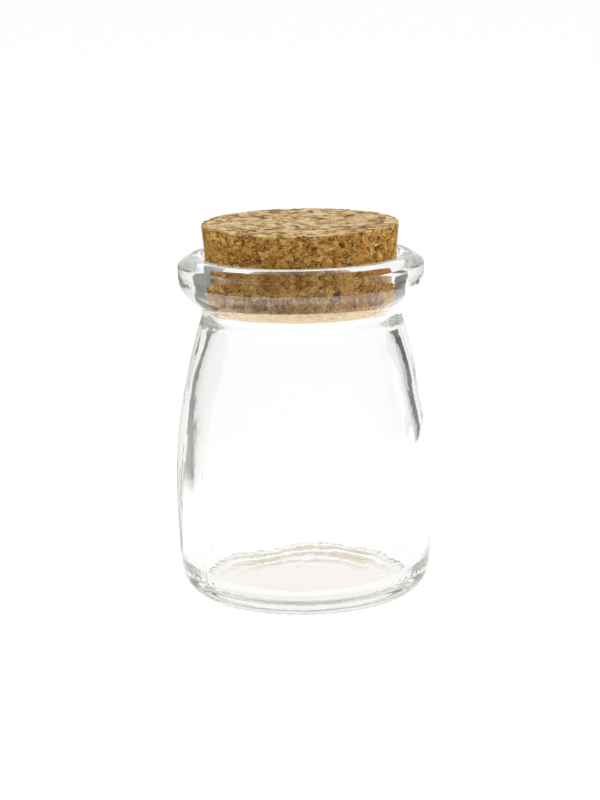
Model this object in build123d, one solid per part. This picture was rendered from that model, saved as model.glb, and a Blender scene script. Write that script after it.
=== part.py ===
from build123d import *
import os
from math import atan, cos, radians, sin, sqrt, tan

# A pressed glass jar with a tapered agglomerated cork pushed into its mouth.
# Millimetres. Z is the axis that everything is turned about, and the jar stands on Z = 0.

# Jar, outside
jar_height = 75.4
body_diameter = 57.0
widest_height = 22.9
barrel_radius = 205.0  # curve of the wall between the heel and the widest height
heel_inset = 4.3  # from the widest radius in to the outer edge of the bearing ring
heel_rounding = 6.9
neck_depth = 12.8  # of the narrowest ring of the neck, below the rim
neck_rounding = 2.5
lip_overhang = 5.0  # from the neck out to the lip
lip_underside_slope = 42.0  # degrees
lip_rounding = 5.0  # between the underside and the upright side of the lip
lip_corner_depth = 1.75  # of the corner between the upright side and the crown, below the rim
lip_corner_rounding = 1.1
crest_width = 1.5  # of the level part of the lip's crest
crest_rounding = 2.0  # of the crest's outer edge

# Jar, inside
mouth_diameter = 42.3  # of the tapered bore, where it would meet the level of the rim
taper_share = 0.1  # radius lost for each unit of depth, in the bore and on the cork
mouth_rounding = 1.7
throat_depth = 14.4  # where the bore's taper ends, below the rim
throat_rounding = 7.0
neck_wall = 2.15
body_wall = 3.1
floor_height = 3.4
floor_rounding = 5.0

# Jar, underside
bearing_ring_width = 2.7
push_up_height = 0.9
knurl_count = 60
knurl_depth = 0.4
knurl_gap = 1.25  # clear width between two of the bars that the jar stands on
land_width = 0.4  # unbroken bands inside and outside the bars

# Cork
cork_rise = 6.85  # above the rim
cork_insert = 8.2  # below the rim
cork_edge_rounding = 0.4
seat_clearance = 0.12  # between the cork and the bore, all round

# Cuts
overrun = 1.0  # how far a cutting solid runs past the surface that it cuts

# Heights above the table that follow from these
lip_corner_height = jar_height - lip_corner_depth
neck_height = jar_height - neck_depth
throat_height = jar_height - throat_depth


def bore_radius(height):
    """Radius of the tapered bore at a height above the table."""
    return mouth_diameter / 2 - taper_share * (jar_height - height)


def cork_radius(height):
    """Radius of the cork at a height above the table, with its clearance to the bore."""
    return bore_radius(height) - seat_clearance


def arc(center, start, end):
    """The shorter arc about a centre, from start to end."""
    bisector = (start - center) + (end - center)
    middle = center + bisector.normalized() * (start - center).length
    return ThreePointArc(start, middle, end)


def point_towards(center, other, radius):
    """The point of a circle about a centre that faces another point."""
    return center + (other - center).normalized() * radius


def upright_arc_radius(side, pivot, rounding):
    """Radius of the arc that stands upright at side and touches the circle about pivot."""
    across = pivot.X - side.X
    up = pivot.Y - side.Y
    return (across**2 + up**2 - rounding**2) / (2 * (rounding - across))


def upper_crossing(center_a, radius_a, center_b, radius_b):
    """Where two circles cross, on the left of the way from centre a to centre b."""
    way = center_b - center_a
    along = (way.length**2 + radius_a**2 - radius_b**2) / (2 * way.length)
    aside = sqrt(radius_a**2 - along**2)
    forward = way.normalized()
    left = Vector(-forward.Y, forward.X)
    return center_a + forward * along + left * aside


def neck_center():
    """Centre of the hollow rounding between the shoulder and the lip."""
    neck_radius = bore_radius(neck_height) + neck_wall
    return Vector(neck_radius + neck_rounding, neck_height)


def barrel_center():
    """Centre of the wall's curve, level with the widest height."""
    return Vector(body_diameter / 2 - barrel_radius, widest_height)


def heel_outline():
    """Outside of the glass from the bearing ring up to the widest height."""
    widest = Vector(body_diameter / 2, widest_height)
    ring_edge = Vector(body_diameter / 2 - heel_inset, 0)
    center = upper_crossing(barrel_center(), barrel_radius - heel_rounding, ring_edge, heel_rounding)
    heel_top = point_towards(barrel_center(), center, barrel_radius)
    return [arc(center, ring_edge, heel_top), arc(barrel_center(), heel_top, widest)]


def shoulder_outline():
    """Outside of the glass from the widest height up to the underside of the lip."""
    neck = neck_center()
    widest = Vector(body_diameter / 2, widest_height)
    shoulder_radius = upright_arc_radius(widest, neck, neck_rounding)
    shoulder = widest - Vector(shoulder_radius, 0)
    shoulder_end = point_towards(shoulder, neck, shoulder_radius)
    return [arc(shoulder, widest, shoulder_end), arc(neck, shoulder_end, underside_start())]


def underside_start():
    """Where the rounding of the neck runs out into the sloping underside of the lip."""
    slope = radians(lip_underside_slope)
    return neck_center() + Vector(-sin(slope), cos(slope)) * neck_rounding


def lip_radius():
    """Radius of the upright side of the lip."""
    return bore_radius(neck_height) + neck_wall + lip_overhang


def lip_rounding_center():
    """Centre of the rounding that touches the sloping underside and the side of the lip."""
    slope = radians(lip_underside_slope)
    start = underside_start()
    across = lip_radius() - lip_rounding
    reach = across + lip_rounding * sin(slope) - start.X
    height = start.Y + lip_rounding * cos(slope) + reach * tan(slope)
    return Vector(across, height)


def corner_rounding(before, corner, after, rounding):
    """The arc that rounds a corner of the outline, which comes from before and goes to after."""
    arriving = (before - corner).normalized()
    leaving = (after - corner).normalized()
    middle = (arriving + leaving).normalized()
    half_sine = (arriving - leaving).length / 2
    half_cosine = (arriving + leaving).length / 2
    cut = rounding * half_cosine / half_sine
    center = corner + middle * (rounding / half_sine)
    return arc(center, corner + arriving * cut, corner + leaving * cut)


def lip_outline():
    """Outside of the lip from the neck over its side and its sloping crown to the crest."""
    slope = radians(lip_underside_slope)
    center = lip_rounding_center()
    rounding_start = center + Vector(sin(slope), -cos(slope)) * lip_rounding
    side_start = center + Vector(lip_rounding, 0)
    corner = Vector(lip_radius(), lip_corner_height)
    crest = Vector(lip_crest_radius(), jar_height)
    crest_edge = crest + Vector(crest_width, 0)
    lower = corner_rounding(side_start, corner, crest_edge, lip_corner_rounding)
    upper = corner_rounding(corner, crest_edge, crest, crest_rounding)
    return [
        Line(underside_start(), rounding_start),
        arc(center, rounding_start, side_start),
        Line(side_start, lower @ 0),
        lower,
        Line(lower @ 1, upper @ 0),
        upper,
        Line(upper @ 1, crest),
    ]


def bore_edge():
    """Where the mouth's rounding runs out into the taper of the bore."""
    slope = atan(taper_share)
    drop = mouth_rounding - mouth_rounding * sin(slope)
    height = jar_height - drop
    return Vector(bore_radius(height), height)


def lip_crest_radius():
    """Radius at which the level crest turns down into the mouth."""
    return bore_edge().X + mouth_rounding * cos(atan(taper_share))


def throat_outline():
    """Inside of the glass from the crest over the edge of the mouth down the bore to the throat."""
    crest = Vector(lip_crest_radius(), jar_height)
    rounding_center = crest - Vector(0, mouth_rounding)
    throat = Vector(bore_radius(throat_height), throat_height)
    return [arc(rounding_center, crest, bore_edge()), Line(bore_edge(), throat)]


def throat_center():
    """Centre of the rounding that turns the bore into the shoulder."""
    slope = atan(taper_share)
    throat = Vector(bore_radius(throat_height), throat_height)
    return throat + Vector(cos(slope), -sin(slope)) * throat_rounding


def cavity_outline():
    """Inside of the glass from the throat down the shoulder and the wall to the floor."""
    throat = Vector(bore_radius(throat_height), throat_height)
    turn = throat_center()
    widest = Vector(body_diameter / 2 - body_wall, widest_height)
    shoulder_radius = upright_arc_radius(widest, turn, throat_rounding)
    shoulder = widest - Vector(shoulder_radius, 0)
    shoulder_end = point_towards(shoulder, turn, shoulder_radius)
    wall_radius = barrel_radius - body_wall
    corner_height = floor_height + floor_rounding
    corner_reach = sqrt((wall_radius - floor_rounding) ** 2 - (widest_height - corner_height) ** 2)
    corner = Vector(barrel_center().X + corner_reach, corner_height)
    wall_end = point_towards(barrel_center(), corner, wall_radius)
    floor_edge = corner - Vector(0, floor_rounding)
    return [
        arc(turn, throat, shoulder_end),
        arc(shoulder, shoulder_end, widest),
        arc(barrel_center(), widest, wall_end),
        arc(corner, wall_end, floor_edge),
        Line(floor_edge, Vector(0, floor_height)),
    ]


def underside_outline():
    """The axis through the floor, the shallow push-up and the flat bearing ring."""
    ring_edge = Vector(body_diameter / 2 - heel_inset, 0)
    ring_start = ring_edge - Vector(bearing_ring_width, 0)
    dome_radius = (ring_start.X**2 + push_up_height**2) / (2 * push_up_height)
    dome_top = Vector(0, push_up_height)
    dome = dome_top - Vector(0, dome_radius)
    return [
        Line(Vector(0, floor_height), dome_top),
        arc(dome, dome_top, ring_start),
        Line(ring_start, ring_edge),
    ]


def knurl_gaps():
    """Cutting solids for the gaps that part the bars round the bearing ring."""
    start = body_diameter / 2 - heel_inset - bearing_ring_width + land_width
    length = bearing_ring_width - 2 * land_width
    height = knurl_depth + overrun
    gap = Box(length, knurl_gap, height, align=(Align.MIN, Align.CENTER, Align.MIN))
    below = Pos(0, 0, -overrun)
    return [below * place * gap for place in PolarLocations(start, knurl_count)]


def glass_jar():
    """The jar: one wall of glass turned about Z, with a knurled ring to stand on."""
    outline = heel_outline() + shoulder_outline() + lip_outline()
    outline += throat_outline() + cavity_outline() + underside_outline()
    section = Plane.XZ * make_face(outline)
    return revolve(section, axis=Axis.Z) - knurl_gaps()


def cork_stopper():
    """The cork: a plug with the taper of the bore and slightly broken edges."""
    bottom = jar_height - cork_insert
    top = jar_height + cork_rise
    section = Polyline(
        (0, bottom),
        (cork_radius(bottom), bottom),
        (cork_radius(top), top),
        (0, top),
        close=True,
    )
    plug = revolve(Plane.XZ * make_face(section), axis=Axis.Z)
    rims = plug.edges().filter_by(GeomType.CIRCLE)
    return fillet(rims, cork_edge_rounding)


os.makedirs("parts", exist_ok=True)
export_step(glass_jar(), "parts/glass_jar.step")
export_step(cork_stopper(), "parts/cork_stopper.step")
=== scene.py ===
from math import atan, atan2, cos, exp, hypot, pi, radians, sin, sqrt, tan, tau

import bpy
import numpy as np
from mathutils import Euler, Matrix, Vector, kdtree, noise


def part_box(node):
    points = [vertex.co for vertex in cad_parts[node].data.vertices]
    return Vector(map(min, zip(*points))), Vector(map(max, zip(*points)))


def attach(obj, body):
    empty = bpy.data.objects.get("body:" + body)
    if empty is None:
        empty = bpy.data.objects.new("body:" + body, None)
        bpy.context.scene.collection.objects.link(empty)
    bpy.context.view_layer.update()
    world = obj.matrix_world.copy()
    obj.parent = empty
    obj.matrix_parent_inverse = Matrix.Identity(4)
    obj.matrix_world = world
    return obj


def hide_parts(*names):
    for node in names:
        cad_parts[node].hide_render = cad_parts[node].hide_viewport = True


bl_info = {
    "name": "Cork jar",
    "version": (1, 0, 0),
    "blender": (4, 5, 0),
    "location": "View3D > Sidebar > Cork jar",
    "description": "Builds a pressed glass jar and its agglomerated cork round a measured frame",
    "category": "Add Mesh",
}

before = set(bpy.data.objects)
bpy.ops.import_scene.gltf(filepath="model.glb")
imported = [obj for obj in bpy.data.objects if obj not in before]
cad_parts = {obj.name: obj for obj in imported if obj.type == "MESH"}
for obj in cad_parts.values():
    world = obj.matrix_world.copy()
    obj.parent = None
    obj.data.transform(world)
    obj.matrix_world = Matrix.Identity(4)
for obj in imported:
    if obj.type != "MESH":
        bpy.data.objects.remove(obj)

MM = 0.001

# Glass
COLUMNS = 392  # round the glass
SEAMS = (radians(218.5), radians(38.5))  # of the mould's two halves
SEAM_FOOT, SEAM_TOP = 6 * MM, 32 * MM  # heights between which the seams show
SEAM_RISE = 0.03 * MM
SEAM_WIDTH = 0.14 * MM
SEAM_STEPS = (-0.55, -0.35, -0.17, 0.02, 0.17, 0.35, 0.55)  # degrees to the extra columns at a seam
GAP_RISE = 0.4  # of the gaps between the bars, as a share of the bars' height
GAP_REACH = 2.2 * MM  # from the ring's inner edge to where the gaps are deepest
BAR_CREST, BAR_FLANK = 0.05, 0.4  # half the crest of a bar and its flank, as shares of the spacing
LONG_WAVE = 13 * MM  # of the inner wall
SHORT_WAVE = (5 * MM, 5 * MM, 9 * MM)
SHORT_WAVE_SHARE = 0.45  # of the long wave's strength
FLOOR_WAVE_SHARE = 0.05  # of the wall's waves, on the inner floor
WAVE_SHIFT = (3.1, 7.7, 1.3)  # where the long wave is taken from its noise
WAVE_START = 2 * MM  # height above the inner floor
WAVE_FADE_BELOW, WAVE_FADE_ABOVE = 10 * MM, 6 * MM  # lengths over which the waves begin and end
SHADOW_TINT = (0.93, 0.95, 0.93, 1.0)

# Cork
GRAIN_SEED = 29
END_STEPS = 4  # of the rounding at each end of the plug
NICK_SIZE = 1.1 * MM  # of the crumbled spots along the top edge
NICK_REACH, NICK_DEPTH = 0.9 * MM, 0.32 * MM
SEATED_RELIEF = 0.03  # of its roughness that the cork keeps where the glass presses it flat
SEAT_FADE = 0.8 * MM  # depth below the mouth over which the cork is pressed flat
GRIP_LEVEL, GRIP_DIP = 0.2, 0.8  # shares of the seat depth, of which the second grows to the sides
GRIP_FADE, GRIP_FLANK = 0.4 * MM, 0.04
PAINT_PRESS = (1.0, 1.0, 1.7)  # how much flatter than wide the painted grain is
PATCHES = (520.0, 3.0, 0.6, 0.6)  # scale, detail, roughness and distortion of a painted noise
FIBERS = (1700.0, 3.0, 0.65, 0.8)
FLECKS = (1250.0, 3.0, 0.65, 1.0)
DUST = (4200.0, 2.0, 0.6)
FLECK_START = (0.60, 0.70)
RUDDY_FROM, RUDDY_SHARE = 0.74, 0.3  # hue of the reddish granules, and how reddish they are
RAMP_PLACES = (0.0, 0.2, 0.5, 1.0)  # of a ramp's four colours

# Studio, where a direction is an azimuth from +Y towards +X, a half angle and a soft edge in degrees
FLOOR_REACH = 4.0  # from the middle of the floor to its sides
LEFT_CARD, RIGHT_CARD, DIM_FRONT = (-58, 21, 3), (51, 12, 1.5), (180, 95, 20)
LEFT_STRIP, RIGHT_STRIP = (-34, 18, 6), (26, 10, 6)  # mirrored along the outlines of the glass
RIGHT_STRIP_SHARE = 0.4  # of the left one's strength
LEFT_CARD_START, CARD_START = (0.07, 0.16), (0.22, 0.27)  # on the floor, from the jar's axis
STRIP_START = (0.03, 0.04)
# Painted shadow: reach of the darker, warmer floor painted under the jar, seen through its base.
SHADE_UNDER_JAR_EDGE = (0.0205, 0.023)  # of what shows through the jar's base
FLOOR_WHITE = (0.82, 0.82, 0.82, 1.0)
FLOOR_SHINE = 0.88  # share of the floor's look that is its own light, while the rest takes shade
FLOOR_GLOW = 1.08
RING_GLOW = 2.8  # added where the outer faces mirror the floor round the jar
RING_START, RING_END = (0.05, 0.10), (0.405, 0.435)
RING_WANDER, WANDER_SCALE = 0.012, 14.0  # of the ring's far edge
CARDS_TOP = (0.7, 0.8)  # the upward part of the directions in which the cards end
CEILING_START = (0.45, 0.6)
CEILING_COLOR = (0.1, 0.1, 0.1)
SOFT_BOXES = (  # way to it, half angle and soft edge
    ((-0.8, -0.25, 0.75), 17, 6),
    ((0.8, -0.15, 0.8), 14, 6),
)
LAMP_AIM = (0.0, 0.0, 0.06)
LAMPS = {  # place, size and power
    "left": ((-0.72, -0.22, 0.43), 0.45, 3.7),
    "right": ((0.74, -0.2, 0.43), 0.45, 5.7),
    "front": ((0.0, -0.8, 0.4), 0.6, 0.95),
    "top": ((0.0, 0.15, 0.9), 0.6, 0.4),
    "foot": ((0.0, 0.0, 0.02), 0.03, 0.017),
}

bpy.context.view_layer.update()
jar_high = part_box("glass_jar")[1]
cork_low, cork_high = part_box("cork_stopper")


class JarSizes(bpy.types.PropertyGroup):
    """Sizes of the glass that the frame's box doesn't give."""

    wall: bpy.props.FloatProperty(
        name="Wall", description="Thickness of the wall at the body", default=3.1 * MM, unit="LENGTH"
    )
    widest: bpy.props.FloatProperty(
        name="Widest height", description="Height of the widest ring", default=22.9 * MM, unit="LENGTH"
    )
    barrel: bpy.props.FloatProperty(
        name="Barrel radius", description="Curve of the lower wall", default=205 * MM, unit="LENGTH"
    )
    heel_inset: bpy.props.FloatProperty(
        name="Heel inset",
        description="From the widest radius to the ring",
        default=4.3 * MM,
        unit="LENGTH",
    )
    heel_rounding: bpy.props.FloatProperty(
        name="Heel rounding", description="Radius of the heel", default=6.9 * MM, unit="LENGTH"
    )
    neck_depth: bpy.props.FloatProperty(
        name="Neck depth", description="Narrowest ring below the rim", default=12.8 * MM, unit="LENGTH"
    )
    neck_radius: bpy.props.FloatProperty(
        name="Neck radius", description="Radius of the neck", default=22.02 * MM, unit="LENGTH"
    )
    neck_rounding: bpy.props.FloatProperty(
        name="Neck rounding", description="Hollow under the lip", default=2.5 * MM, unit="LENGTH"
    )
    lip_overhang: bpy.props.FloatProperty(
        name="Lip overhang", description="From the neck to the lip", default=5.0 * MM, unit="LENGTH"
    )
    lip_slope: bpy.props.FloatProperty(
        name="Lip slope",
        description="Slope of the lip's underside",
        default=radians(42),
        subtype="ANGLE",
    )
    lip_rounding: bpy.props.FloatProperty(
        name="Lip rounding", description="Lower corner of the lip", default=5.0 * MM, unit="LENGTH"
    )
    lip_corner_depth: bpy.props.FloatProperty(
        name="Lip corner depth",
        description="Upper corner below the rim",
        default=1.75 * MM,
        unit="LENGTH",
    )
    lip_corner_rounding: bpy.props.FloatProperty(
        name="Lip corner rounding",
        description="Upper corner of the lip",
        default=1.1 * MM,
        unit="LENGTH",
    )
    crest_width: bpy.props.FloatProperty(
        name="Crest width",
        description="Flat width of the lip's crest",
        default=1.5 * MM,
        unit="LENGTH",
    )
    crest_rounding: bpy.props.FloatProperty(
        name="Crest rounding", description="Outer edge of the crest", default=2.0 * MM, unit="LENGTH"
    )
    mouth_radius: bpy.props.FloatProperty(
        name="Mouth radius",
        description="Bore at the level of the rim",
        default=21.15 * MM,
        unit="LENGTH",
    )
    mouth_rounding: bpy.props.FloatProperty(
        name="Mouth rounding", description="Edge of the mouth", default=1.7 * MM, unit="LENGTH"
    )
    throat_depth: bpy.props.FloatProperty(
        name="Throat depth",
        description="End of the taper below the rim",
        default=14.4 * MM,
        unit="LENGTH",
    )
    throat_rounding: bpy.props.FloatProperty(
        name="Throat rounding", description="Bore to shoulder", default=7.0 * MM, unit="LENGTH"
    )
    floor: bpy.props.FloatProperty(
        name="Floor", description="Height of the inner floor", default=3.4 * MM, unit="LENGTH"
    )
    floor_rounding: bpy.props.FloatProperty(
        name="Floor rounding", description="Inner corner at the floor", default=5.0 * MM, unit="LENGTH"
    )
    ring_width: bpy.props.FloatProperty(
        name="Ring width", description="Width of the bearing ring", default=2.7 * MM, unit="LENGTH"
    )
    push_up: bpy.props.FloatProperty(
        name="Push-up", description="Hollow of the underside", default=0.9 * MM, unit="LENGTH"
    )
    bar_height: bpy.props.FloatProperty(
        name="Bar height",
        description="Height of the bars on the ring",
        default=0.4 * MM,
        unit="LENGTH",
    )
    bars: bpy.props.IntProperty(
        name="Bars", description="Number of bars round the bearing ring", default=60, min=3
    )
    wave: bpy.props.FloatProperty(
        name="Wave", description="How far the inner wall wanders", default=0.22 * MM, unit="LENGTH"
    )
    tint: bpy.props.FloatVectorProperty(
        name="Tint",
        description="Colour of light after thick glass",
        subtype="COLOR",
        default=(0.80, 0.84, 0.79),
    )


class CorkLook(bpy.types.PropertyGroup):
    """Sizes and colours of the agglomerated cork."""

    taper: bpy.props.FloatProperty(
        name="Taper", description="Radius lost for each unit of depth", default=0.1, subtype="FACTOR"
    )
    clearance: bpy.props.FloatProperty(
        name="Clearance", description="Between cork and bore", default=0.10 * MM, unit="LENGTH"
    )
    press: bpy.props.FloatProperty(
        name="Press",
        description="How far the bore bites into the cork",
        default=0.02 * MM,
        unit="LENGTH",
    )
    seat_depth: bpy.props.FloatProperty(
        name="Seat depth",
        description="Where the cork grips, below the rim",
        default=2.7 * MM,
        unit="LENGTH",
    )
    seat_reach: bpy.props.FloatProperty(
        name="Seat reach",
        description="Half angle of each gripping side",
        default=radians(61),
        subtype="ANGLE",
    )
    edge: bpy.props.FloatProperty(
        name="Edge", description="Broken edge of the plug", default=0.3 * MM, unit="LENGTH"
    )
    spacing: bpy.props.FloatProperty(
        name="Spacing",
        description="Distance between the points of the mesh",
        default=0.24 * MM,
        unit="LENGTH",
    )
    granule: bpy.props.FloatProperty(
        name="Granule", description="Typical size of a granule", default=2.3 * MM, unit="LENGTH"
    )
    press_ratio: bpy.props.FloatProperty(
        name="Press ratio",
        description="How much flatter than wide the pressed granules are",
        default=1.5,
    )
    crack: bpy.props.FloatProperty(
        name="Crack depth", description="Depth of the gaps", default=0.45 * MM, unit="LENGTH"
    )
    dark: bpy.props.FloatVectorProperty(
        name="Dark", description="Bark and crack colour", subtype="COLOR", default=(0.06, 0.022, 0.006)
    )
    brown: bpy.props.FloatVectorProperty(
        name="Brown", description="Darker granules", subtype="COLOR", default=(0.19, 0.085, 0.016)
    )
    tan: bpy.props.FloatVectorProperty(
        name="Tan", description="Common granules", subtype="COLOR", default=(0.37, 0.195, 0.04)
    )
    pale: bpy.props.FloatVectorProperty(
        name="Pale", description="Palest granules", subtype="COLOR", default=(0.68, 0.44, 0.15)
    )
    dull: bpy.props.FloatVectorProperty(
        name="Dull",
        description="Darker grains of the cut ends",
        subtype="COLOR",
        default=(0.34, 0.21, 0.08),
    )
    sanded: bpy.props.FloatVectorProperty(
        name="Sanded",
        description="Common grains of the cut ends",
        subtype="COLOR",
        default=(0.585, 0.40, 0.185),
    )
    bright: bpy.props.FloatVectorProperty(
        name="Bright",
        description="Palest grains of the cut ends",
        subtype="COLOR",
        default=(0.86, 0.68, 0.42),
    )
    ruddy: bpy.props.FloatVectorProperty(
        name="Ruddy",
        description="Tinge of the reddish granules",
        subtype="COLOR",
        default=(0.42, 0.14, 0.03),
    )
    # Lower end painted paler: partly a dusty edge, partly painted light from below on the underside.
    dust_and_underside_light: bpy.props.FloatVectorProperty(
        name="Dust_and_underside_light",
        description="Edge of the lower end",
        subtype="COLOR",
        default=(0.98, 0.75, 0.42),
    )


class StageLook(bpy.types.PropertyGroup):
    """Camera and light of the studio."""

    distance: bpy.props.FloatProperty(
        name="Distance", description="Camera to the jar's axis", default=515 * MM, unit="LENGTH"
    )
    target: bpy.props.FloatProperty(
        name="Target height",
        description="Height that the camera looks at",
        default=42.3 * MM,
        unit="LENGTH",
    )
    aside: bpy.props.FloatProperty(
        name="Aside", description="Camera's place beside the axis", default=-0.69 * MM, unit="LENGTH"
    )
    pitch: bpy.props.FloatProperty(
        name="Pitch", description="How far it looks down", default=radians(12.6), subtype="ANGLE"
    )
    roll: bpy.props.FloatProperty(
        name="Roll", description="Turn about the line of sight", default=radians(1.04), subtype="ANGLE"
    )
    lens: bpy.props.FloatProperty(
        name="Lens", description="Focal length in millimetres on a 36 mm film", default=104.2
    )
    fill: bpy.props.FloatProperty(
        name="Fill", description="Strength of the light from all round", default=0.4
    )
    left_card: bpy.props.FloatVectorProperty(
        name="Left card",
        description="Card seen through the left wall",
        subtype="COLOR",
        default=(0.20, 0.20, 0.165),
    )
    right_card: bpy.props.FloatVectorProperty(
        name="Right card",
        description="Card seen through the right wall",
        subtype="COLOR",
        default=(0.075, 0.075, 0.06),
    )
    front_shade: bpy.props.FloatVectorProperty(
        name="Front shade",
        description="Mirrored camera side of the room",
        subtype="COLOR",
        default=(0.12, 0.12, 0.11),
    )
    strip: bpy.props.FloatVectorProperty(
        name="Strip",
        description="Mirrored along the outlines of the glass",
        subtype="COLOR",
        default=(0.15, 0.145, 0.13),
    )
    # Painted shadow: the jar's shade on the floor under it, painted into the floor where glass shows it
    # through the base.
    shade_under_jar: bpy.props.FloatVectorProperty(
        name="Shade_under_jar",
        description="Warm white seen through the base",
        subtype="COLOR",
        default=(0.93, 0.865, 0.81),
    )


class Wire:
    """One output of a shader tree, for use in Python expressions."""

    def __init__(self, shader, socket):
        self.shader = shader
        self.socket = socket

    def math(self, operation, first, second, clamp=False):
        settings = {"operation": operation, "use_clamp": clamp}
        return self.shader.node("ShaderNodeMath", settings, {0: first, 1: second})

    def __add__(self, other):
        return self.math("ADD", self, other)

    __radd__ = __add__

    def __sub__(self, other):
        return self.math("SUBTRACT", self, other)

    def __rsub__(self, other):
        return self.math("SUBTRACT", other, self)

    def __mul__(self, other):
        return self.math("MULTIPLY", self, other)

    __rmul__ = __mul__

    def __truediv__(self, other):
        return self.math("DIVIDE", self, other)

    def __pow__(self, other):
        return self.math("POWER", self, other)

    def __gt__(self, other):
        return self.math("GREATER_THAN", self, other)

    def most(self, other):
        """The larger of two values."""
        return self.math("MAXIMUM", self, other)

    def clamped(self):
        """The value, kept between 0 and 1."""
        return self.math("ADD", self, 0.0, clamp=True)

    def rise(self, low, high):
        """0 below low and 1 above high, with a smooth step between."""
        values = {"Value": self, "From Min": low, "From Max": high}
        return self.shader.node("ShaderNodeMapRange", {"interpolation_type": "SMOOTHSTEP"}, values)


class Shader:
    """Writes nodes into one tree."""

    def __init__(self, owner):
        owner.use_nodes = True
        self.tree = owner.node_tree
        self.tree.nodes.clear()
        world = isinstance(owner, bpy.types.World)
        self.output_kind = "ShaderNodeOutputWorld" if world else "ShaderNodeOutputMaterial"

    def node(self, kind, settings=None, values=None, output=0):
        """Makes a node, sets it up, feeds its sockets and gives one of its outputs."""
        made = self.tree.nodes.new(kind)
        for name, value in (settings or {}).items():
            if name == "stops":
                self.set_stops(made.color_ramp, value)
            else:
                setattr(made, name, value)
        for key, value in (values or {}).items():
            if isinstance(value, Wire):
                self.tree.links.new(value.socket, made.inputs[key])
            else:
                made.inputs[key].default_value = value
        return Wire(self, made.outputs[output])

    def set_stops(self, ramp, stops):
        """Sets the places and colours of a colour ramp."""
        while len(ramp.elements) < len(stops):
            ramp.elements.new(1.0)
        for element, (place, color) in zip(ramp.elements, stops):
            element.position = place
            element.color = (*color, 1.0)

    def mix(self, share, first, second):
        """A colour between two colours."""
        a, b = (v if isinstance(v, Wire) else (*v, 1.0) for v in (first, second))
        return self.node("ShaderNodeMix", {"data_type": "RGBA"}, {0: share, 6: a, 7: b}, output=2)

    def times(self, color, factor):
        """A colour made darker or lighter by a number."""
        return self.node("ShaderNodeVectorMath", {"operation": "SCALE"}, {0: color, "Scale": factor})

    def ramp(self, level, colors):
        """A colour along four colours from dark to pale."""
        stops = list(zip(RAMP_PLACES, colors))
        return self.node("ShaderNodeValToRGB", {"stops": stops}, {0: level.clamped()})

    def parts(self, kind, whole):
        """The three parts of a vector or a colour."""
        made = self.node(kind, None, {0: whole}).socket.node
        return [Wire(self, part) for part in list(made.outputs)[:3]]

    def noise(self, place, scale, detail=3.0, roughness=0.5, distortion=0.0):
        """A noise that lies about 0.5, over places in metres."""
        values = {"Vector": place, "Scale": scale, "Detail": detail}
        values.update({"Roughness": roughness, "Distortion": distortion})
        return self.node("ShaderNodeTexNoise", None, values)

    def ray(self, kind):
        """What the kind of ray is, or how often it has bounced."""
        return self.node("ShaderNodeLightPath", output=kind)

    def finish(self, surface, volume=None):
        """Joins the shaders to the tree's output."""
        sockets = {"Surface": surface} if volume is None else {"Surface": surface, "Volume": volume}
        made = self.tree.nodes.new(self.output_kind)
        for name, wire in sockets.items():
            self.tree.links.new(wire.socket, made.inputs[name])


def arc_points(center, start, end, count):
    """Points along the shorter arc about a centre, without its start."""
    a, b = start - center, end - center
    turn = atan2(a.x * b.y - a.y * b.x, a.dot(b))
    points = []
    for step in range(1, count + 1):
        angle = turn * step / count
        turned = Vector((a.x * cos(angle) - a.y * sin(angle), a.x * sin(angle) + a.y * cos(angle)))
        points.append(center + turned)
    return points


def line_points(start, end, count):
    """Points along a line, without its start."""
    return [start.lerp(end, step / count) for step in range(1, count + 1)]


def point_towards(center, other, radius):
    """The point of a circle about a centre that faces another point."""
    return center + (other - center).normalized() * radius


def upright_arc_radius(side, pivot, rounding):
    """Radius of the arc that stands upright at side and touches the circle about pivot."""
    across, up = pivot - side
    return (across**2 + up**2 - rounding**2) / (2 * (rounding - across))


def upper_crossing(center_a, radius_a, center_b, radius_b):
    """Where two circles cross, on the left of the way from centre a to centre b."""
    way = center_b - center_a
    along = (way.length_squared + radius_a**2 - radius_b**2) / (2 * way.length)
    forward = way.normalized()
    left = Vector((-forward.y, forward.x))
    return center_a + forward * along + left * sqrt(radius_a**2 - along**2)


def bore_radius(jar, height):
    """Radius of the tapered bore, which the cork's taper follows."""
    taper = bpy.context.scene.cork_look.taper
    return jar.mouth_radius - taper * (jar_high.z - height)


def neck_center(jar):
    """Centre of the hollow rounding between the shoulder and the lip."""
    height = jar_high.z - jar.neck_depth
    return Vector((jar.neck_radius + jar.neck_rounding, height))


def outside_points(jar):
    """Outline of the outside as radius and height, from the axis under the floor to the lip's crest."""
    side = jar_high.x
    barrel_center = Vector((side - jar.barrel, jar.widest))
    widest = Vector((side, jar.widest))
    ring_edge = Vector((side - jar.heel_inset, 0.0))
    ring_start = ring_edge - Vector((jar.ring_width, 0.0))
    dome_radius = (ring_start.x**2 + jar.push_up**2) / (2 * jar.push_up)
    dome_top = Vector((0.0, jar.push_up))
    dome = dome_top - Vector((0.0, dome_radius))
    heel = upper_crossing(barrel_center, jar.barrel - jar.heel_rounding, ring_edge, jar.heel_rounding)
    heel_top = point_towards(barrel_center, heel, jar.barrel)
    neck = neck_center(jar)
    shoulder_radius = upright_arc_radius(widest, neck, jar.neck_rounding)
    shoulder = widest - Vector((shoulder_radius, 0.0))
    shoulder_end = point_towards(shoulder, neck, shoulder_radius)
    neck_end, lip_center, lip_start = lip_underside(jar)
    points = [dome_top]
    points += arc_points(dome, dome_top, ring_start, 12)
    points += line_points(ring_start, ring_edge, 8)
    points += arc_points(heel, ring_edge, heel_top, 18)
    points += arc_points(barrel_center, heel_top, widest, 10)
    points += arc_points(shoulder, widest, shoulder_end, 34)
    points += arc_points(neck, shoulder_end, neck_end, 12)
    points += line_points(neck_end, lip_start, 4)
    points += arc_points(lip_center, lip_start, lip_center + Vector((jar.lip_rounding, 0.0)), 9)
    return points + crown_points(jar, points[-1])


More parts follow.
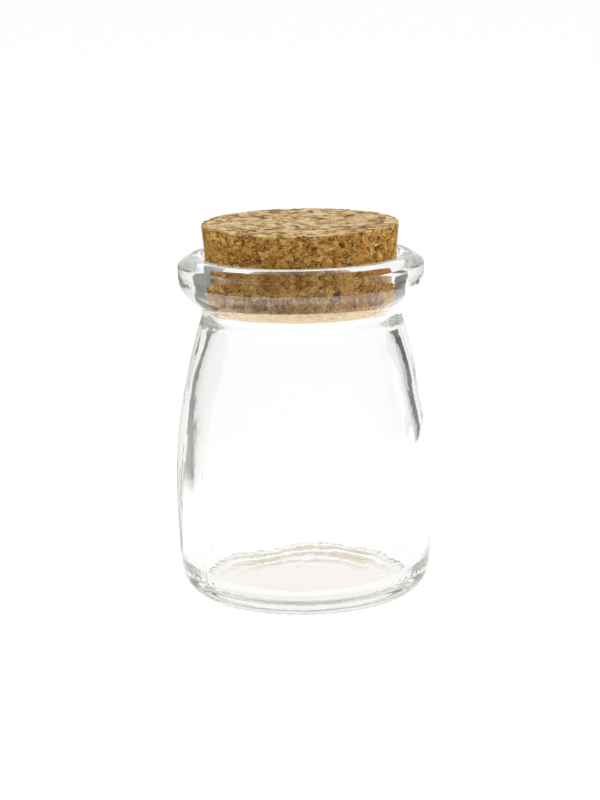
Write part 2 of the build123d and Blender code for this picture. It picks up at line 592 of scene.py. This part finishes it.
def lip_underside(jar):
    """Where the sloping underside starts, and the centre and start of the lip's lower rounding."""
    slope = jar.lip_slope
    neck_end = neck_center(jar) + Vector((-sin(slope), cos(slope))) * jar.neck_rounding
    across = jar.neck_radius + jar.lip_overhang - jar.lip_rounding
    reach = across + jar.lip_rounding * sin(slope) - neck_end.x
    center = Vector((across, neck_end.y + jar.lip_rounding * cos(slope) + reach * tan(slope)))
    return neck_end, center, center + Vector((sin(slope), -cos(slope))) * jar.lip_rounding


def rounded_corner(before, corner, after, radius, count):
    """Points of a corner's rounding, from the side that comes first."""
    arriving, leaving = (before - corner).normalized(), (after - corner).normalized()
    half = arriving.angle(leaving) / 2
    start, end = corner + arriving * (radius / tan(half)), corner + leaving * (radius / tan(half))
    center = corner + (arriving + leaving).normalized() * (radius / sin(half))
    return [start] + arc_points(center, start, end, count)


def crown_points(jar, side):
    """The top of the lip: upright side, sloping crown and narrow crest."""
    corner = Vector((side.x, jar_high.z - jar.lip_corner_depth))
    crest = lip_crest(jar)
    edge = crest + Vector((jar.crest_width, 0.0))
    upper = rounded_corner(corner, edge, crest, jar.crest_rounding, 7)
    lower = rounded_corner(side, corner, edge, jar.lip_corner_rounding, 7)
    points = line_points(side, lower[0], 4) + lower[1:]
    points += line_points(lower[-1], upper[0], 4) + upper[1:]
    return points + line_points(upper[-1], crest, 3)


def bore_edge(jar):
    """Where the mouth's rounding runs out into the taper of the bore."""
    slope = atan(bpy.context.scene.cork_look.taper)
    height = jar_high.z - jar.mouth_rounding * (1 - sin(slope))
    return Vector((bore_radius(jar, height), height))


def lip_crest(jar):
    """Where the level crest turns down into the mouth."""
    slope = atan(bpy.context.scene.cork_look.taper)
    return Vector((bore_edge(jar).x + jar.mouth_rounding * cos(slope), jar_high.z))


def inside_points(jar):
    """Outline of the cavity from the crest of the lip to the axis on the floor."""
    slope = atan(bpy.context.scene.cork_look.taper)
    crest = lip_crest(jar)
    throat_height = jar_high.z - jar.throat_depth
    throat = Vector((bore_radius(jar, throat_height), throat_height))
    turn = throat + Vector((cos(slope), -sin(slope))) * jar.throat_rounding
    widest = Vector((jar_high.x - jar.wall, jar.widest))
    shoulder_radius = upright_arc_radius(widest, turn, jar.throat_rounding)
    shoulder = widest - Vector((shoulder_radius, 0.0))
    shoulder_end = point_towards(shoulder, turn, shoulder_radius)
    barrel_center = Vector((jar_high.x - jar.barrel, jar.widest))
    wall_radius = jar.barrel - jar.wall
    corner_height = jar.floor + jar.floor_rounding
    reach = sqrt((wall_radius - jar.floor_rounding) ** 2 - (jar.widest - corner_height) ** 2)
    corner = Vector((barrel_center.x + reach, corner_height))
    wall_end = point_towards(barrel_center, corner, wall_radius)
    floor_edge = corner - Vector((0.0, jar.floor_rounding))
    points = arc_points(crest - Vector((0.0, jar.mouth_rounding)), crest, bore_edge(jar), 10)
    points += line_points(bore_edge(jar), throat, 9)
    points += arc_points(turn, throat, shoulder_end, 10)
    points += arc_points(shoulder, shoulder_end, widest, 38)
    points += arc_points(barrel_center, widest, wall_end, 12)
    points += arc_points(corner, wall_end, floor_edge, 14)
    points += line_points(floor_edge, Vector((0.0, jar.floor)), 14)
    return points


def smooth(share):
    """0 up to 0 and 1 from 1 on, with a smooth step between."""
    share = min(max(share, 0.0), 1.0)
    return share * share * (3 - 2 * share)


def seam_angles(columns):
    """Even angles round the axis, with closer ones at the two mould seams."""
    angles = [tau * step / columns for step in range(columns)]
    for seam in SEAMS:
        angles += [seam + radians(step) for step in SEAM_STEPS]
    return sorted(angle % tau for angle in angles)


def outside_bend(jar, point, angle):
    """A ring point of the outside, with the bars of the bearing ring and the mould seams."""
    radius, height = point
    if height < jar.bar_height:
        phase = (angle * jar.bars / tau) % 1.0
        gap = GAP_RISE * smooth((abs(phase - 0.5) - BAR_CREST) / BAR_FLANK)
        outer = smooth((radius - (jar_high.x - jar.heel_inset - jar.ring_width)) / GAP_REACH)
        height += (jar.bar_height - height) * gap * outer
    if SEAM_FOOT < height < SEAM_TOP:
        near = max(cos(angle - seam) for seam in SEAMS)
        aside = sqrt(max(0.0, 2 - 2 * near)) * radius
        radius += SEAM_RISE * exp(-((aside / SEAM_WIDTH) ** 2))
    return radius, height


def inside_bend(jar, point, angle):
    """A ring point of the cavity, with the long waves of pressed glass."""
    radius, height = point
    throat = jar_high.z - jar.throat_depth
    if height > throat:
        return radius, height
    place = Vector((radius * cos(angle), radius * sin(angle), height))
    slow = noise.noise(place / LONG_WAVE + Vector(WAVE_SHIFT))
    quick = noise.noise(Vector([along / wave for along, wave in zip(place, SHORT_WAVE)]))
    drift = slow + SHORT_WAVE_SHARE * quick
    if height < jar.floor + jar.floor_rounding / 2:
        return radius, height + FLOOR_WAVE_SHARE * jar.wave * drift
    above_floor = smooth((height - jar.floor - WAVE_START) / WAVE_FADE_BELOW)
    below_throat = smooth((throat - height) / WAVE_FADE_ABOVE)
    return radius + jar.wave * drift * (below_throat * above_floor), height


def turned_mesh(name, rings, angles):
    """A closed surface from rings of points, where the first and the last ring are one point each."""
    points = [rings[0][0]]
    for ring in rings[1:-1]:
        points += ring
    points.append(rings[-1][0])
    count = len(angles)
    faces = []
    for column in range(count):
        following = (column + 1) % count
        faces.append((0, 1 + following, 1 + column))
        for row in range(len(rings) - 3):
            low, high = 1 + row * count, 1 + (row + 1) * count
            faces.append((low + column, low + following, high + following, high + column))
        last = 1 + (len(rings) - 3) * count
        faces.append((last + column, last + following, len(points) - 1))
    return new_piece(name, points, faces)


def new_piece(name, points, faces):
    """A smooth-shaded mesh object in the scene."""
    mesh = bpy.data.meshes.new(name)
    mesh.from_pydata(points, [], faces)
    mesh.validate()
    mesh.shade_smooth()
    piece = bpy.data.objects.new(name, mesh)
    bpy.context.scene.collection.objects.link(piece)
    return piece


def glass_piece(jar):
    """The jar, turned from its two outlines and bent a little."""
    angles = seam_angles(COLUMNS)
    rings = []
    for bend, outline in ((outside_bend, outside_points(jar)), (inside_bend, inside_points(jar))):
        for point in outline:
            ring = []
            for angle in angles:
                radius, height = bend(jar, point, angle)
                ring.append((radius * cos(angle), radius * sin(angle), height))
            rings.append(ring)
    return turned_mesh("glass", rings, angles)


def glass_material(jar):
    """Clear glass with faint ripples that tints what is seen through its edges."""
    material = bpy.data.materials.new("pressed_glass")
    shader = Shader(material)
    place = shader.node("ShaderNodeTexCoord", output=3)
    ripple = shader.noise(place, 160.0, 2.0) + 0.25 * shader.noise(place, 700.0, 2.0)
    bump = {"Strength": 1.0, "Distance": 0.05 * MM, "Height": ripple}
    values = {"Base Color": (1, 1, 1, 1), "Roughness": 0.0, "IOR": 1.5, "Transmission Weight": 1.0}
    values["Normal"] = shader.node("ShaderNodeBump", None, bump)
    glass = shader.node("ShaderNodeBsdfPrincipled", None, values)
    clear = shader.node("ShaderNodeBsdfTransparent", None, {"Color": SHADOW_TINT})
    edge = shader.node("ShaderNodeLayerWeight", None, {"Blend": 0.35}, output=1)
    shadow = shader.ray("Is Shadow Ray") * (1 - 0.6 * edge)
    surface = shader.node("ShaderNodeMixShader", None, {0: shadow, 1: glass, 2: clear})
    volume = {"Color": (*jar.tint, 1.0), "Density": 9.0}
    shader.finish(surface, shader.node("ShaderNodeVolumeAbsorption", None, volume))
    return material


class Granules:
    """Granules and crumbs of many sizes that fill the cork, with the gaps between them."""

    margin = 2 * MM  # of granules past the cork's box, on all sides
    group = 5  # crumbs in each group of them
    scatter = 0.5 * MM  # of the crumbs in a group
    coarse_bend, fine_bend = 1.6 * MM, 0.5 * MM  # sizes of the bends in the granules' outlines
    layer = 0.32 * MM  # thickness of the growth layers, which run on for layer_reach
    layer_reach = 1.5 * MM
    torn_size = 1.2 * MM  # of the stretches where the seams are torn open
    pit_size = 0.3 * MM  # of the pits where three granules meet
    hole_flank = 0.4 * MM
    hole_depth = 0.9 * MM  # where a granule fell out
    fallen = 0.985  # a granule that is sunk more than this has fallen out
    facet_depth, layer_depth, rough_depth = 0.08 * MM, 0.04 * MM, 0.05 * MM
    rough_size = 0.4 * MM

    def __init__(self, look):
        chance = np.random.default_rng(GRAIN_SEED)
        noise.seed_set(GRAIN_SEED)
        low, high = np.array(cork_low) - self.margin, np.array(cork_high) + self.margin
        low[2], high[2] = look.press_ratio * low[2], look.press_ratio * high[2]
        count = int(np.prod(high - low) / (0.9 * look.granule**3))
        whole = chance.uniform(low, high, (count, 3))
        spots = chance.uniform(low, high, (count // 3, 1, 3))
        crumbs = spots + chance.normal(0, self.scatter, (count // 3, self.group, 3))
        centers = np.concatenate((whole, crumbs.reshape(-1, 3)))
        self.tree = kdtree.KDTree(len(centers))
        for number, center in enumerate(centers):
            self.tree.insert(center, number)
        self.tree.balance()
        self.tone, self.hue, self.sunk = chance.random((3, len(centers)))
        self.grain = [Vector(way).normalized() for way in chance.normal(0, 1, (len(centers), 3))]
        self.look = look

    def layers(self, granule, spot):
        """The growth layers of a granule, each across its own direction."""
        grain = self.grain[granule]
        along = grain.dot(spot)
        return noise.noise((spot - grain * along) / self.layer_reach + grain * (along / self.layer))

    def seam(self, first, second, border, place):
        """How far the seam between two granules is open: some seams are tight and some wide."""
        loose = (self.sunk[first] + self.sunk[second] + 0.618 * (first + second)) % 1.0
        torn = smooth(0.5 + 1.6 * noise.noise(place / self.torn_size))
        width = (0.07 + 0.2 * loose**3) * MM
        return (1 - smooth(border / width)) * smooth((loose - 0.3) / 0.5) * torn

    def sample(self, place):
        """Depth below the cut surface, and the tone, hue and crack to paint there."""
        warp = noise.noise_vector(place / self.coarse_bend) * 0.5 * MM
        warp += noise.noise_vector(place / self.fine_bend) * 0.16 * MM
        spot = Vector((place.x, place.y, self.look.press_ratio * place.z)) + warp
        nearest = self.tree.find_n(spot, 3)
        (near, first, reach), (far, second, far_reach), (_, third, last_reach) = nearest
        border = (far_reach**2 - reach**2) / (2 * (far - near).length)
        corner = 1 - smooth((last_reach - reach) / self.pit_size)
        pit = corner * smooth((self.sunk[third] - 0.55) / 0.2)
        crack = max(self.seam(first, second, border, place), pit)
        lost = smooth(border / self.hole_flank) if self.sunk[first] > self.fallen else 0.0
        layers = self.layers(first, spot)
        facet = self.facet_depth * self.sunk[first] + self.layer_depth * layers
        rough = self.rough_depth * noise.noise(place / self.rough_size)
        depth = facet + rough + self.look.crack * crack + self.hole_depth * lost
        tone = min(max(self.tone[first] + 0.45 * layers, 0.0), 1.0)
        return max(0.0, depth), (tone, self.hue[first], max(crack, 0.9 * lost))


def grip(look, place):
    """How firmly the glass presses on the cork: at the front and back of its slightly oval seat."""
    facing = max(0.1, abs(place.y) / hypot(place.x, place.y))
    start = jar_high.z - look.seat_depth * (GRIP_LEVEL + GRIP_DIP / facing)
    below = smooth((start - place.z) / GRIP_FADE)
    return smooth((facing - cos(look.seat_reach)) / GRIP_FLANK) * below


def nick(place):
    """How far the top edge has crumbled away at a place."""
    reach = hypot(cork_high.x - hypot(place.x, place.y), cork_high.z - place.z)
    broken = smooth((noise.noise(place / NICK_SIZE) - 0.05) / 0.3)
    return NICK_DEPTH * broken * smooth(1 - reach / NICK_REACH)


def cork_side(look):
    """Outline of the plug's side from the bottom end to the top end, with outward normals."""
    jar = bpy.context.scene.jar_sizes
    foot = Vector((bore_radius(jar, cork_low.z) - look.clearance, cork_low.z))
    mouth = bore_edge(jar) - Vector((look.clearance, 0.0))
    head = Vector((cork_high.x, cork_high.z))
    points = rounded_corner(Vector((0.0, foot.y)), foot, mouth, look.edge, END_STEPS)
    points += line_points(points[-1], mouth, int((mouth - points[-1]).length / look.spacing))
    top = rounded_corner(mouth, head, Vector((0.0, head.y)), look.edge, END_STEPS)
    points += line_points(mouth, top[0], int((top[0] - mouth).length / look.spacing)) + top[1:]
    outline = []
    for index, point in enumerate(points):
        along = points[min(index + 1, len(points) - 1)] - points[max(index - 1, 0)]
        outline.append((point, Vector((along.y, -along.x)).normalized()))
    return outline


def disc(radius, height, upward, first, count, rim):
    """Rings of 6, 12, 18 ... points on a cut end, numbered from first, and triangles out to the rim."""
    places, faces = [Vector((0, 0, height))], []
    for ring in range(1, count):
        for step in range(6 * ring):
            angle = tau * step / (6 * ring)
            reach = radius * ring / count
            places.append(Vector((reach * cos(angle), reach * sin(angle), height)))

    def number(ring, step):
        if ring == 0:
            return first
        around = step % (6 * ring)
        return rim + around if ring == count else first + 1 + 3 * ring * (ring - 1) + around

    for ring in range(count):
        for sector in range(6):
            for step in range(ring + 1):
                inner = number(ring, sector * ring + step)
                outer = number(ring + 1, sector * (ring + 1) + step)
                beyond = number(ring + 1, sector * (ring + 1) + step + 1)
                faces.append((inner, outer, beyond) if upward else (inner, beyond, outer))
                if step < ring:
                    following = number(ring, sector * ring + step + 1)
                    faces.append((inner, beyond, following) if upward else (inner, following, beyond))
    return places, faces


def plug(look):
    """Points of the smooth plug, their normals, how far each lies on a cut end, and the faces."""
    side = cork_side(look)
    rings = int(side[-1][0].x / look.spacing)
    columns = 6 * rings
    places, normals, ends, faces = [], [], [], []
    for point, way in side:
        for step in range(columns):
            angle = tau * step / columns
            places.append(Vector((point.x * cos(angle), point.x * sin(angle), point.y)))
            normals.append(Vector((way.x * cos(angle), way.x * sin(angle), way.y)))
            ends.append(smooth(2 * abs(way.y) - 0.6))
    for row in range(len(side) - 1):
        for step in range(columns):
            a, b = row * columns + step, row * columns + (step + 1) % columns
            faces.append((a, b, b + columns, a + columns))
    for rim, upward in ((len(side) - 1, True), (0, False)):
        point = side[rim][0]
        more, more_faces = disc(point.x, point.y, upward, len(places), rings, rim * columns)
        places += more
        faces += more_faces
        normals += [Vector((0, 0, 1 if upward else -1))] * len(more)
        ends += [1.0] * len(more)
    return places, normals, ends, faces


def cork_piece(look):
    """The plug with its surface carved and painted by the granules, and pressed flat by the glass."""
    granules = Granules(look)
    places, normals, ends, faces = plug(look)
    colors = np.ones((len(places), 4), np.float32)
    mouth = bore_edge(bpy.context.scene.jar_sizes).y
    for index, (place, normal, end) in enumerate(zip(places, normals, ends)):
        depth, paint = granules.sample(place)
        depth = depth * (1 - 0.5 * end) + nick(place)
        if end < 0.5 and place.z < mouth:
            seated = SEATED_RELIEF * depth - (look.clearance + look.press) * grip(look, place)
            depth += (seated - depth) * smooth((mouth - place.z) / SEAT_FADE)
        places[index] = place - normal * depth
        colors[index] = (*paint, end)
    piece = new_piece("cork", places, faces)
    grain = piece.data.color_attributes.new("grain", "FLOAT_COLOR", "POINT")
    grain.data.foreach_set("color", colors.ravel())
    return piece


def cork_material(look):
    """Pressed cork granules: mottled tan and brown with dark seams and pale sanded ends; the lower end
    is painted paler, partly a dusty edge and partly painted light from below.
    """
    material = bpy.data.materials.new("pressed_cork")
    shader = Shader(material)
    place = shader.node("ShaderNodeTexCoord", output=3)
    grain = {"attribute_name": "grain"}
    paint = shader.node("ShaderNodeAttribute", grain)
    sanded = shader.node("ShaderNodeAttribute", grain, output=3)
    tone, hue, crack = shader.parts("ShaderNodeSeparateColor", paint)
    flat = shader.node("ShaderNodeVectorMath", {"operation": "MULTIPLY"}, {0: place, 1: PAINT_PRESS})
    patch = shader.noise(flat, *PATCHES)
    fiber = shader.noise(flat, *FIBERS)
    dust = shader.noise(flat, *DUST)
    fleck = shader.noise(flat, *FLECKS).rise(*FLECK_START)
    level = 0.5 * tone + 0.35 * (patch - 0.5) + 1.6 * (fiber - 0.5) + 1.7 * (dust - 0.5) + 0.24
    bark = shader.ramp(level, (look.dark, look.brown, look.tan, look.pale))
    side = shader.mix(RUDDY_SHARE * (hue > RUDDY_FROM), bark, look.ruddy)
    worn = 0.7 * tone + 1.2 * (patch - 0.5) + 1.1 * (fiber - 0.5) + 0.6 * (dust - 0.5) + 0.15
    end = shader.ramp(worn, (look.dark, look.dull, look.sanded, look.bright))
    low = shader.parts("ShaderNodeSeparateXYZ", place)[2]
    # Painted light: the lower end is painted paler for the light it gets from below, on top of a paler
    # dusty edge.
    foot = sanded * (1.0 - low.rise(cork_low.z, cork_low.z + MM))
    color = shader.mix(foot * 0.75, shader.mix(sanded, side, end), look.dust_and_underside_light)
    color = shader.mix(fleck * (0.7 - 0.25 * sanded - 0.25 * foot), color, look.dark)
    color = shader.mix((crack * (1.0 - 0.35 * sanded)).clamped(), color, look.dark)
    height = 0.6 * fiber + 0.5 * dust + 0.4 * patch
    bump = {"Strength": 0.9, "Distance": 0.12 * MM, "Height": height}
    values = {"Base Color": color, "Roughness": 0.82 + 0.14 * fiber, "Specular IOR Level": 0.1}
    values["Normal"] = shader.node("ShaderNodeBump", None, bump)
    shader.finish(shader.node("ShaderNodeBsdfPrincipled", None, values))
    return material


def seen_ray(shader):
    """1 for rays that show the backdrop, mirrored or through glass too, and 0 for light on the cork."""
    shown = shader.ray("Is Camera Ray").most(shader.ray("Is Glossy Ray"))
    shown = shown.most(shader.ray("Is Transmission Ray"))
    return shown * (1.0 - (shader.ray("Diffuse Depth") > 0.5))


def first_reflection(shader):
    """1 for what the outer faces mirror, without rays that have been inside the glass."""
    return (shader.ray("Glossy Depth") > 0.5) * (1.0 - (shader.ray("Transmission Depth") > 0.5))


class Around:
    """Where the points of a floor or the directions of a world lie round the jar's axis.

    level is the distance from the axis, or the level part of a direction.
    """

    def __init__(self, shader, place):
        self.x, self.y, self.height = shader.parts("ShaderNodeSeparateXYZ", place)
        self.level = (self.x * self.x + self.y * self.y) ** 0.5

    def toward(self, azimuth, reach, soft):
        """A mask of the directions within an angle of an azimuth, which counts from +Y towards +X."""
        side = (self.x * sin(radians(azimuth)) + self.y * cos(radians(azimuth))) / self.level
        return side.rise(cos(radians(reach + soft)), cos(radians(reach)))


def studio_colors(shader, stage, around, far, left_far):
    """What glass shows of the studio: white, a card at each side and, mirrored, a dim front."""
    cards = shader.mix(around.toward(*LEFT_CARD) * left_far, (1, 1, 1), stage.left_card)
    cards = shader.mix(around.toward(*RIGHT_CARD) * far, cards, stage.right_card)
    front = around.toward(*DIM_FRONT) * far * first_reflection(shader)
    return shader.mix(front, cards, stage.front_shade)


def floor_material(stage):
    """White that shines by itself and still takes soft shade, with the studio that glass shows and a
    painted shadow under the jar seen through its base.
    """
    material = bpy.data.materials.new("white_floor")
    material.cycles.emission_sampling = "NONE"
    shader = Shader(material)
    place = shader.node("ShaderNodeTexCoord", output=3)
    around = Around(shader, place)
    level = around.level
    mirrored = first_reflection(shader)
    colors = studio_colors(shader, stage, around, level.rise(*CARD_START), level.rise(*LEFT_CARD_START))
    strips = around.toward(*LEFT_STRIP).most(around.toward(*RIGHT_STRIP) * RIGHT_STRIP_SHARE)
    colors = shader.mix(strips * mirrored * level.rise(*STRIP_START), colors, stage.strip)
    # Painted shadow under the jar, shown only to rays that come through the glass.
    under = (1.0 - level.rise(*SHADE_UNDER_JAR_EDGE)) * shader.ray("Is Transmission Ray")
    colors = shader.mix(shader.ray("Is Camera Ray"), shader.mix(under, colors, stage.shade_under_jar), (1, 1, 1))
    wander = RING_WANDER * (shader.noise(place, WANDER_SCALE, 1.0) - 0.5)
    ring = level.rise(*RING_START) * (1.0 - (level + wander).rise(*RING_END))
    glow = shader.times(colors, FLOOR_GLOW + RING_GLOW * mirrored * ring)
    bright = shader.node("ShaderNodeEmission", None, {"Color": glow})
    matte = shader.node("ShaderNodeBsdfDiffuse", None, {"Color": FLOOR_WHITE})
    shown = {0: seen_ray(shader) * FLOOR_SHINE, 1: matte, 2: bright}
    shader.finish(shader.node("ShaderNodeMixShader", None, shown))
    return material


def floor_piece():
    """A wide white floor under the jar."""
    corners = ((-1, -1), (1, -1), (1, 1), (-1, 1))
    points = [(x * FLOOR_REACH, y * FLOOR_REACH, 0.0) for x, y in corners]
    floor = new_piece("floor", points, [(0, 1, 2, 3)])
    floor.data.materials.append(floor_material(bpy.context.scene.stage_look))
    return floor


def soft_box(shader, way, reach, soft):
    """A mask round a direction, 1 inside an angle and 0 beyond its soft edge."""
    values = {0: shader.node("ShaderNodeTexCoord"), 1: Vector(way).normalized()}
    facing = shader.node("ShaderNodeVectorMath", {"operation": "DOT_PRODUCT"}, values, output=1)
    return facing.rise(cos(radians(reach + soft)), cos(radians(reach)))


def studio_world(stage):
    """White for the camera, even light for the cork, and the studio for glass."""
    world = bpy.data.worlds.new("studio")
    bpy.context.scene.world = world
    shader = Shader(world)
    around = Around(shader, shader.node("ShaderNodeTexCoord"))
    left_box, right_box = (soft_box(shader, *box) for box in SOFT_BOXES)
    low = 1.0 - around.height.rise(*CARDS_TOP)
    ceiling = first_reflection(shader) * around.height.rise(*CEILING_START)
    room = shader.mix(ceiling, studio_colors(shader, stage, around, low, low), CEILING_COLOR)
    room = shader.mix(left_box.most(right_box), room, (1, 1, 1))
    shown = shader.mix(shader.ray("Is Camera Ray"), room, (1, 1, 1))
    color = shader.mix(seen_ray(shader), (stage.fill,) * 3, shown)
    shader.finish(shader.node("ShaderNodeBackground", None, {"Color": color, "Strength": 1.0}))


def area_lamp(name, place, size, power):
    """A round lamp that lights the jar and isn't seen itself."""
    lamp = bpy.data.lights.new(name, "AREA")
    lamp.shape = "DISK"
    lamp.size = size
    lamp.energy = power
    lamp_object = bpy.data.objects.new(name, lamp)
    lamp_object.location = place
    way = Vector(LAMP_AIM) - Vector(place)
    lamp_object.rotation_euler = way.to_track_quat("-Z", "Y").to_euler()
    lamp_object.visible_camera = False
    lamp_object.visible_glossy = False
    lamp_object.visible_transmission = False
    bpy.context.scene.collection.objects.link(lamp_object)


def photo_camera(stage):
    """A camera at the photograph's height, tilt and framing."""
    data = bpy.data.cameras.new("photo_view")
    data.lens = stage.lens
    data.sensor_width = 36
    data.clip_start = 0.01
    camera = bpy.data.objects.new("photo_view", data)
    back = Vector((0, -cos(stage.pitch), sin(stage.pitch)))
    camera.location = Vector((stage.aside, 0, stage.target)) + back * stage.distance
    tilt = Euler((pi / 2 - stage.pitch, 0, 0)).to_matrix() @ Euler((0, 0, -stage.roll)).to_matrix()
    camera.rotation_euler = tilt.to_euler()
    bpy.context.scene.collection.objects.link(camera)
    bpy.context.scene.camera = camera


class CORKJAR_OT_glass(bpy.types.Operator):
    """Turn the glass jar with its bearing ring, seams and waves"""

    bl_idname = "cork_jar.glass"
    bl_label = "Make glass jar"

    def execute(self, context):
        jar = context.scene.jar_sizes
        piece = glass_piece(jar)
        piece.data.materials.append(glass_material(jar))
        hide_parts("glass_jar")
        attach(piece, "jar")
        return {"FINISHED"}


class CORKJAR_OT_cork(bpy.types.Operator):
    """Build the cork from granules with open seams between them"""

    bl_idname = "cork_jar.cork"
    bl_label = "Make cork"

    def execute(self, context):
        look = context.scene.cork_look
        piece = cork_piece(look)
        piece.data.materials.append(cork_material(look))
        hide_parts("cork_stopper")
        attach(piece, "stopper")
        return {"FINISHED"}


class CORKJAR_OT_stage(bpy.types.Operator):
    """Set up the white floor, the soft studio light and the camera"""

    bl_idname = "cork_jar.stage"
    bl_label = "Make stage"

    def execute(self, context):
        stage = context.scene.stage_look
        context.scene.view_settings.view_transform = "Standard"
        context.scene.cycles.max_bounces = 96
        context.scene.cycles.glossy_bounces = 80
        context.scene.cycles.transmission_bounces = 80
        floor_piece()
        studio_world(stage)
        for name, lamp in LAMPS.items():
            area_lamp(name, *lamp)
        photo_camera(stage)
        return {"FINISHED"}


class CORKJAR_PT_panel(bpy.types.Panel):
    """Makers and sizes of the cork jar"""

    bl_label = "Cork jar"
    bl_idname = "CORKJAR_PT_panel"
    bl_space_type = "VIEW_3D"
    bl_region_type = "UI"
    bl_category = "Cork jar"

    def draw(self, context):
        for operator in OPERATORS:
            self.layout.operator(operator.bl_idname)
        for group in (context.scene.jar_sizes, context.scene.cork_look, context.scene.stage_look):
            box = self.layout.box()
            for name in group.bl_rna.properties.keys():
                if name not in ("rna_type", "name"):
                    box.prop(group, name)


OPERATORS = (CORKJAR_OT_glass, CORKJAR_OT_cork, CORKJAR_OT_stage)
CLASSES = (JarSizes, CorkLook, StageLook, *OPERATORS, CORKJAR_PT_panel)


def register():
    for kind in CLASSES:
        bpy.utils.register_class(kind)
    bpy.types.Scene.jar_sizes = bpy.props.PointerProperty(type=JarSizes)
    bpy.types.Scene.cork_look = bpy.props.PointerProperty(type=CorkLook)
    bpy.types.Scene.stage_look = bpy.props.PointerProperty(type=StageLook)


def unregister():
    for name in ("jar_sizes", "cork_look", "stage_look"):
        delattr(bpy.types.Scene, name)
    for kind in reversed(CLASSES):
        bpy.utils.unregister_class(kind)


def main():
    register()
    bpy.ops.cork_jar.glass()
    bpy.ops.cork_jar.cork()
    bpy.ops.cork_jar.stage()


if __name__ == "__main__":
    main()
